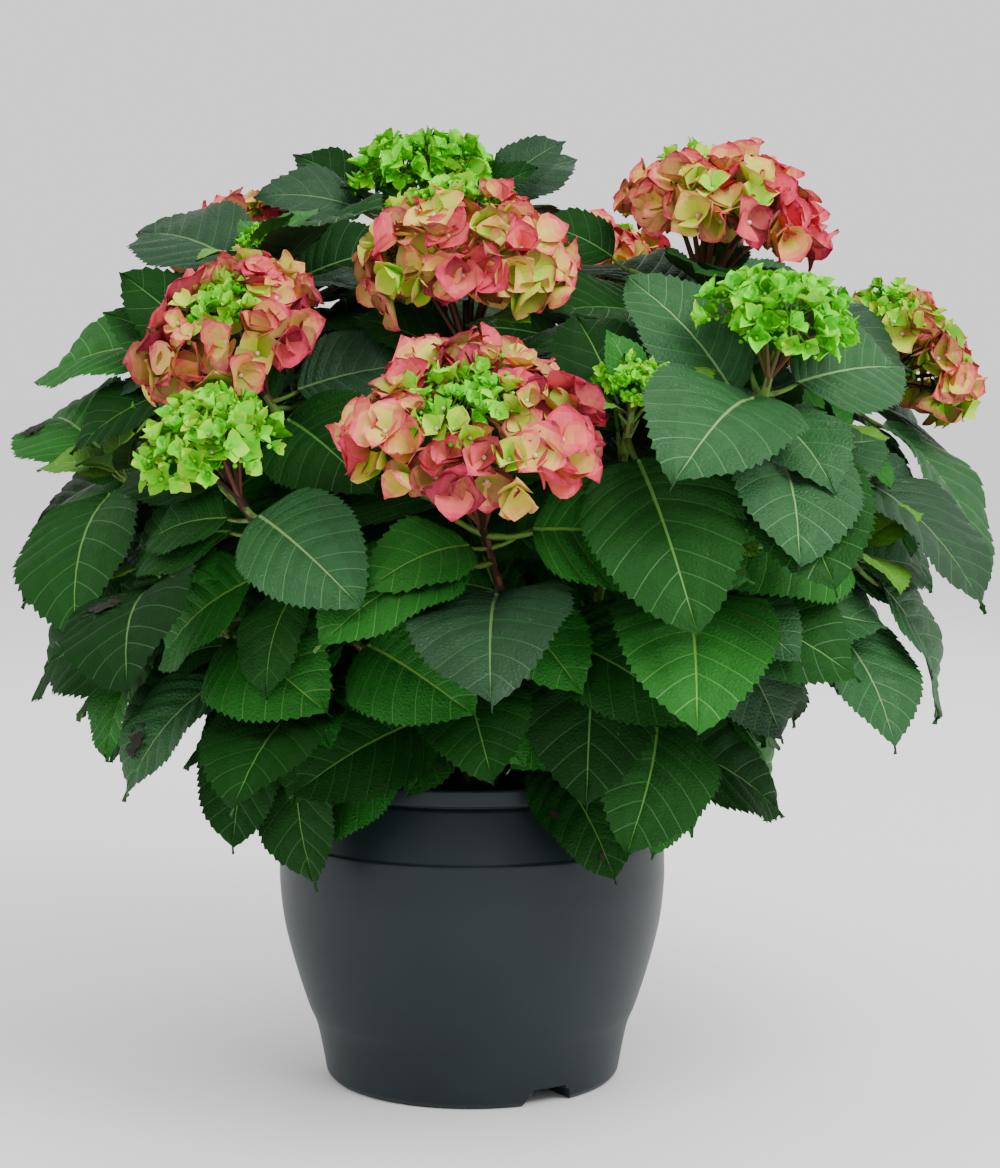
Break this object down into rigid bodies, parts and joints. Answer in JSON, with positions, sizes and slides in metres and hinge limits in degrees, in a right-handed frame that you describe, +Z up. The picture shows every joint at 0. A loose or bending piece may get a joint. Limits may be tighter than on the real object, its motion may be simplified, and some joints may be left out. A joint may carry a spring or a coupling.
{
  "type": "potted hydrangea shrub",
  "caption": "Rounded leafy shrub with domed flower heads on upright woody canes, growing in a soil-filled tapered round plastic pot.",
  "frame": {"origin": "centre of the pot's flat underside, on the ground", "axes": "+Z up; front, with the large front flower head, towards -Y; left to right along +X"},
  "size_m": [0.7141, 0.6877, 0.6858],
  "materials": {
    "pot": "satin moulded plastic, dark slate grey",
    "soil": "crumbly potting soil with bark chips",
    "bark": "rough brown bark on old canes",
    "foliage": "toothed green leaves, green stems and rose to lime flower heads"
  },
  "bodies": {
    "root": {"cane_back": "bark", "cane_back_far_left": "bark", "cane_back_left": "bark", "cane_back_mid": "bark", "cane_back_right": "bark", "cane_far_left": "bark", "cane_far_right": "bark", "cane_front": "bark", "cane_front_bud": "bark", "cane_left": "bark", "cane_left_bud": "bark", "cane_left_green": "bark", "cane_left_low": "bark", "cane_left_side": "bark", "cane_left_skirt": "bark", "cane_low_bud": "bark", "cane_right_edge": "bark", "cane_right_green": "bark", "cane_right_low": "bark", "cane_right_top": "bark", "cane_top": "bark", "cane_upper": "bark", "pot": "pot", "shoot_back": "foliage", "shoot_back_far_left": "foliage", "shoot_back_left": "foliage", "shoot_back_mid": "foliage", "shoot_back_right": "foliage", "shoot_far_left": "foliage", "shoot_far_right": "foliage", "shoot_front": "foliage", "shoot_front_bud": "foliage", "shoot_left": "foliage", "shoot_left_bud": "foliage", "shoot_left_green": "foliage", "shoot_left_low": "foliage", "shoot_left_side": "foliage", "shoot_left_skirt": "foliage", "shoot_low_0": "foliage", "shoot_low_1": "foliage", "shoot_low_10": "foliage", "shoot_low_11": "foliage", "shoot_low_2": "foliage", "shoot_low_3": "foliage", "shoot_low_4": "foliage", "shoot_low_5": "foliage", "shoot_low_6": "foliage", "shoot_low_7": "foliage", "shoot_low_8": "foliage", "shoot_low_9": "foliage", "shoot_low_bud": "foliage", "shoot_right_edge": "foliage", "shoot_right_green": "foliage", "shoot_right_low": "foliage", "shoot_right_top": "foliage", "shoot_top": "foliage", "shoot_upper": "foliage", "soil": "soil", "woody_stock": "bark"}
  },
  "joints": []
}
